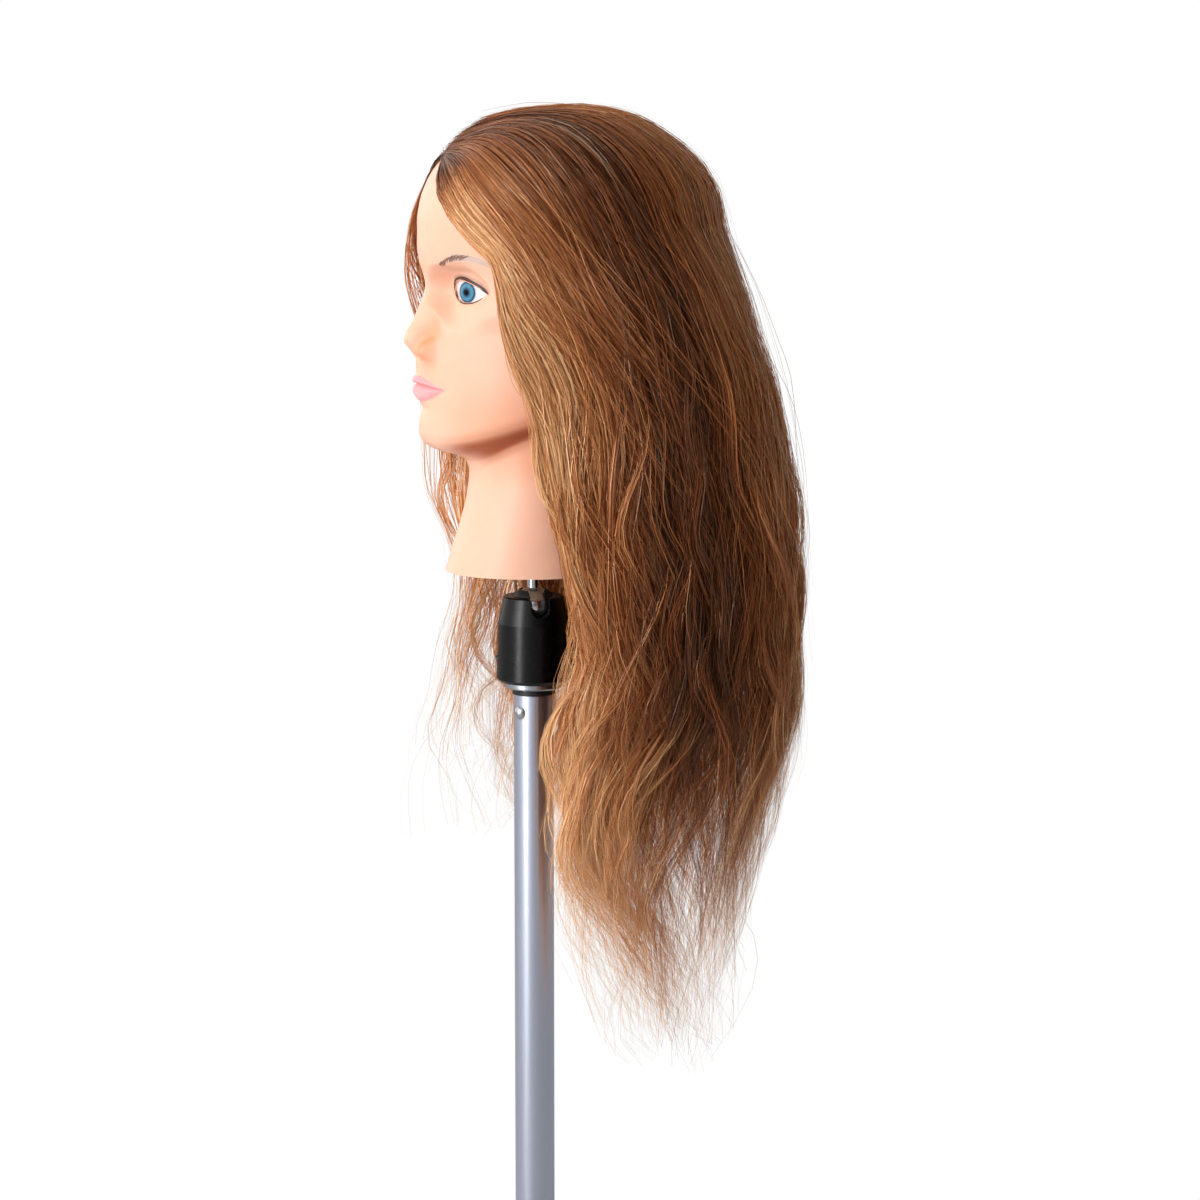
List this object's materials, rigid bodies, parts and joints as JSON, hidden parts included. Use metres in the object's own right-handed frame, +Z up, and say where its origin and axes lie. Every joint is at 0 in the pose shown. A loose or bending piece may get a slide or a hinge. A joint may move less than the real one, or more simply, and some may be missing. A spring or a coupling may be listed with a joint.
{
  "type": "mannequin training head",
  "caption": "Long-haired practice head on a lockable ball clamp and tube, for learning to cut, braid and style hair.",
  "frame": {"origin": "on the stand tube's axis, at the tube's lower end", "axes": "+Z up the tube, the face looks along -Y, +X is the head's own left side"},
  "size_m": [0.1758, 0.2493, 0.709],
  "materials": {
    "tube_metal": "satin anodised",
    "ring_metal": "satin turned",
    "bright_metal": "polished",
    "chrome": "polished",
    "steel": "zinc plated",
    "spring_steel": "tempered",
    "brass": "turned",
    "black_enamel": "semi-gloss black",
    "black_plastic": "moulded",
    "liner_plastic": "moulded nylon",
    "pad_plastic": "moulded nylon",
    "plate_plastic": "moulded",
    "vinyl_skin": "soft matte vinyl, painted lips, brows and lids",
    "foam": "cast rigid foam",
    "eye_gloss": "glossy, blue iris",
    "hair": "long golden-brown hair, lighter at the tips"
  },
  "bodies": {
    "stand": {"tube": "tube_metal", "tube_bush": "black_plastic", "flange_ring": "ring_metal", "spigot": "steel", "spigot_washer": "steel", "retaining_ring": "spring_steel", "snap_spring": "spring_steel"},
    "button": {"snap_button": "bright_metal"},
    "clamp": {"socket_housing": "black_enamel", "guide_screw": "steel"},
    "brake": {"brake_pad": "pad_plastic"},
    "lock_point": {"lock_tip": "brass"},
    "lock_handle": {"lock_screw": "steel", "lock_knob": "black_plastic"},
    "liner": {"ball_liner": "liner_plastic"},
    "head": {"ball_stem": "chrome", "stem_nut": "steel", "neck_plate": "plate_plastic", "neck_insert": "steel", "neck_screws": "steel", "head_skin": "vinyl_skin", "foam_core": "foam", "eye_left": "eye_gloss", "eye_right": "eye_gloss", "hair_crown": "hair", "hair_front": "hair", "hair_left": "hair", "hair_right": "hair", "hair_back": "hair"}
  },
  "joints": [
    {"name": "button_press", "type": "slide", "parent": "stand", "child": "button", "axis": [-0.5446, 0.8387, 0], "range_m": [0, 0.003], "stiffness_N_per_m": 800, "deforming": ["snap_spring"]},
    {"name": "turn", "type": "hinge", "parent": "stand", "child": "clamp", "pos_m": [0, 0, 0.349], "axis": [0, 0, 1], "continuous": true},
    {"name": "brake_lift", "type": "slide", "parent": "clamp", "child": "brake", "axis": [0, 0, -1], "range_m": [0, 0.0006]},
    {"name": "lock_travel", "type": "slide", "parent": "clamp", "child": "lock_point", "axis": [0, 1, 0], "range_m": [0, 0.001]},
    {"name": "lock_turn", "type": "hinge", "parent": "lock_point", "child": "lock_handle", "pos_m": [0, 0.03, 0.3644], "axis": [0, 1, 0], "range_deg": [0, 360]},
    {"name": "nod", "type": "hinge", "parent": "clamp", "child": "liner", "pos_m": [0, 0, 0.397], "axis": [1, 0, 0], "range_deg": [-15, 20], "deforming": ["hair_left", "hair_right", "hair_back"]},
    {"name": "lean", "type": "hinge", "parent": "liner", "child": "head", "pos_m": [0, 0, 0.397], "axis": [0, 1, 0], "range_deg": [-15, 35], "deforming": ["hair_left", "hair_right", "hair_back"]}
  ],
  "couplings": [
    {"joint": "lock_travel", "follows": "lock_turn", "m_per_rad": 0.00015915},
    {"joint": "brake_lift", "follows": "lock_turn", "m_per_rad": 0.000095493}
  ]
}
